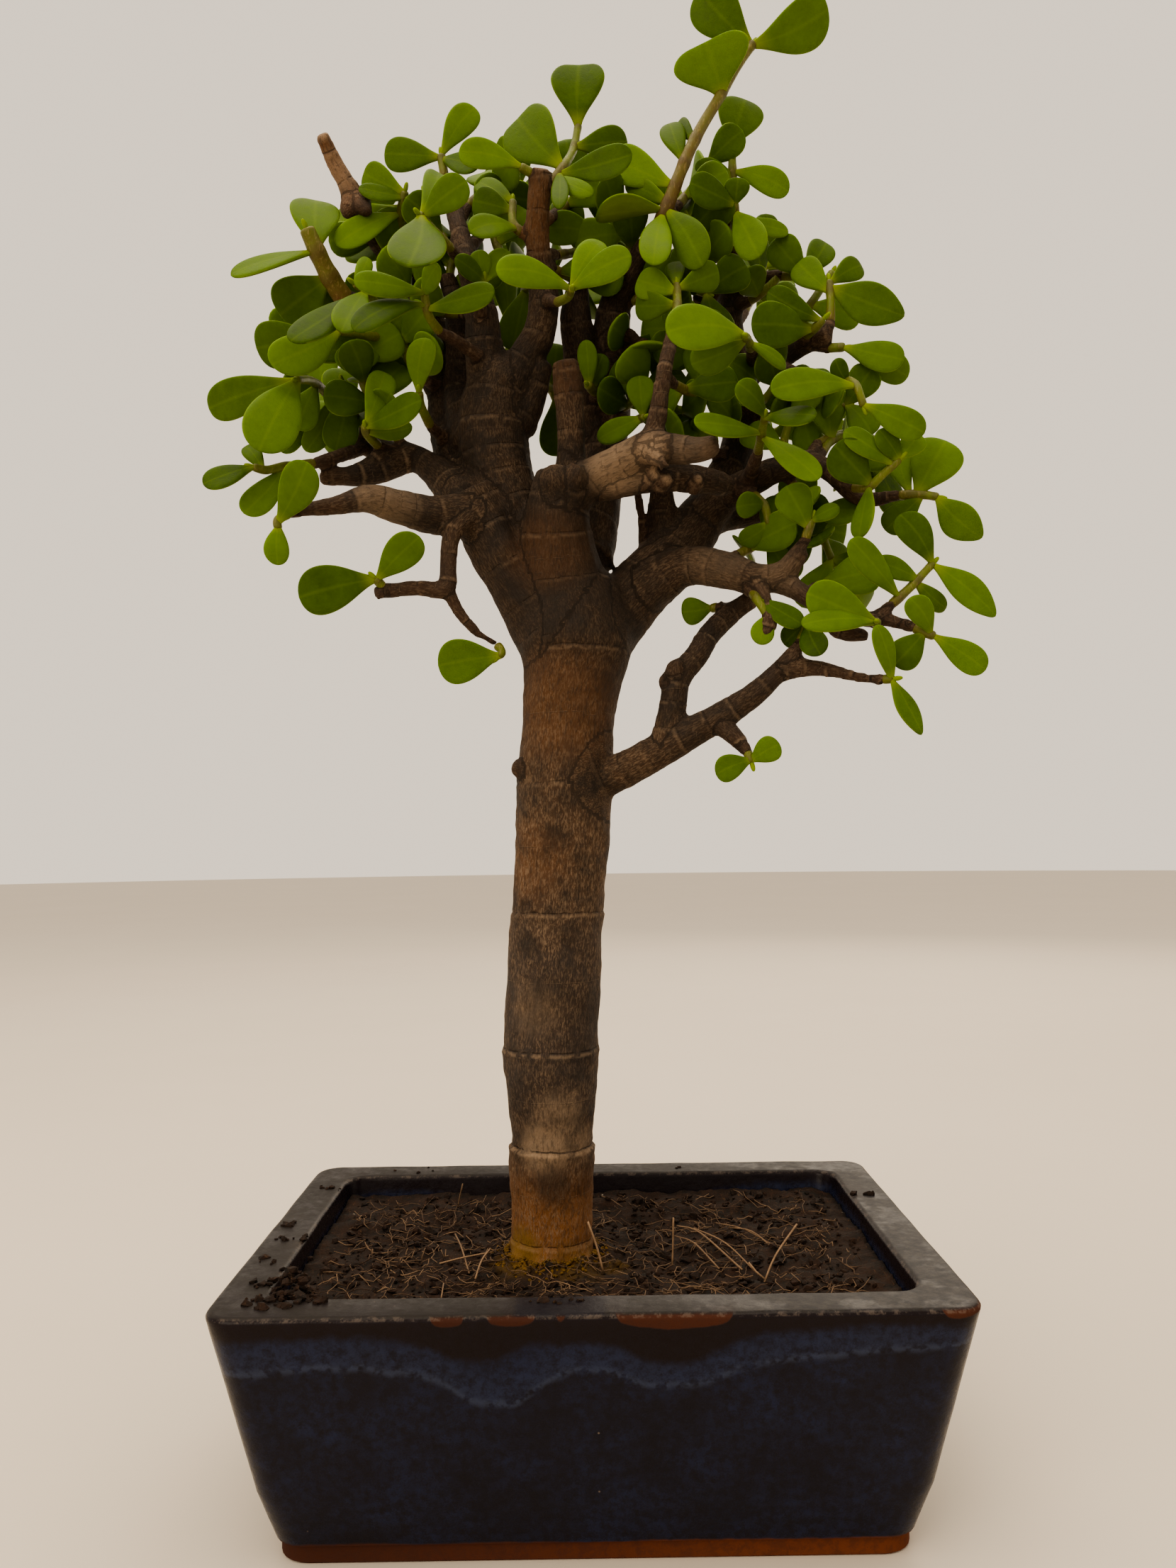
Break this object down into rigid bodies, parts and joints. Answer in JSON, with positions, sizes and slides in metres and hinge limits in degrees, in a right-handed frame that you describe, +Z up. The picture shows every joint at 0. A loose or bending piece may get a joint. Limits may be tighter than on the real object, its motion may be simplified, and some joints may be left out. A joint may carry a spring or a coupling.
{
  "type": "potted bonsai tree",
  "caption": "Dwarf jade bonsai with a thick ringed trunk and fleshy leaves, in a rectangular glazed pot with soil.",
  "frame": {"origin": "centre of the pot's flat underside", "axes": "+Z up; +X along the pot's long side, to the right of the tree's front; +Y towards the back"},
  "size_m": [0.2005, 0.1285, 0.3858],
  "materials": {
    "glaze": "satin",
    "screen": "matte",
    "soil": "matte",
    "bark": "matte",
    "leaf": "satin"
  },
  "bodies": {
    "root": {"pot": "glaze", "drain_screen_left": "screen", "drain_screen_right": "screen", "soil": "soil", "trunk_and_branches": "bark", "shoot_left_drop": "leaf", "shoot_left_tip": "leaf", "shoot_left_outer": "leaf", "shoot_left_shade": "leaf", "shoot_left_mid": "leaf", "shoot_left_stub": "leaf", "shoot_left_pale": "leaf", "shoot_left_front": "leaf", "shoot_left_near": "leaf", "shoot_left_high": "leaf", "shoot_top_left": "leaf", "shoot_top_long": "leaf", "shoot_top_inner": "leaf", "shoot_crown": "leaf", "shoot_tall": "leaf", "shoot_top_right": "leaf", "shoot_right_cluster": "leaf", "shoot_mid_upright": "leaf", "shoot_right_near": "leaf", "shoot_right_inner": "leaf", "shoot_right_upper": "leaf", "shoot_right_high": "leaf", "shoot_right_wide": "leaf", "shoot_right_front": "leaf", "shoot_centre_right": "leaf", "shoot_right_tip": "leaf", "shoot_right_mid": "leaf", "shoot_right_drop": "leaf", "shoot_right_low": "leaf", "shoot_low_tip": "leaf", "shoot_low_hanging": "leaf", "shoot_left_cut": "leaf", "shoot_left_hanging": "leaf", "shoot_centre_near": "leaf", "shoot_centre_back": "leaf", "shoot_centre_low": "leaf", "shoot_centre_deep": "leaf", "shoot_centre_small": "leaf", "shoot_left_upright": "leaf", "shoot_left_inner": "leaf", "shoot_centre_hanging": "leaf", "shoot_centre_bud": "leaf", "shoot_shade_right": "leaf", "shoot_shade_centre": "leaf", "shoot_under_right": "leaf", "shoot_under_spur": "leaf", "shoot_low_upright": "leaf", "shoot_spur": "leaf", "shoot_back_low_left": "leaf", "shoot_back_left": "leaf", "shoot_back_centre": "leaf", "shoot_back_top": "leaf", "shoot_back_crown": "leaf", "shoot_back_right": "leaf", "shoot_back_low_right": "leaf"}
  },
  "joints": []
}
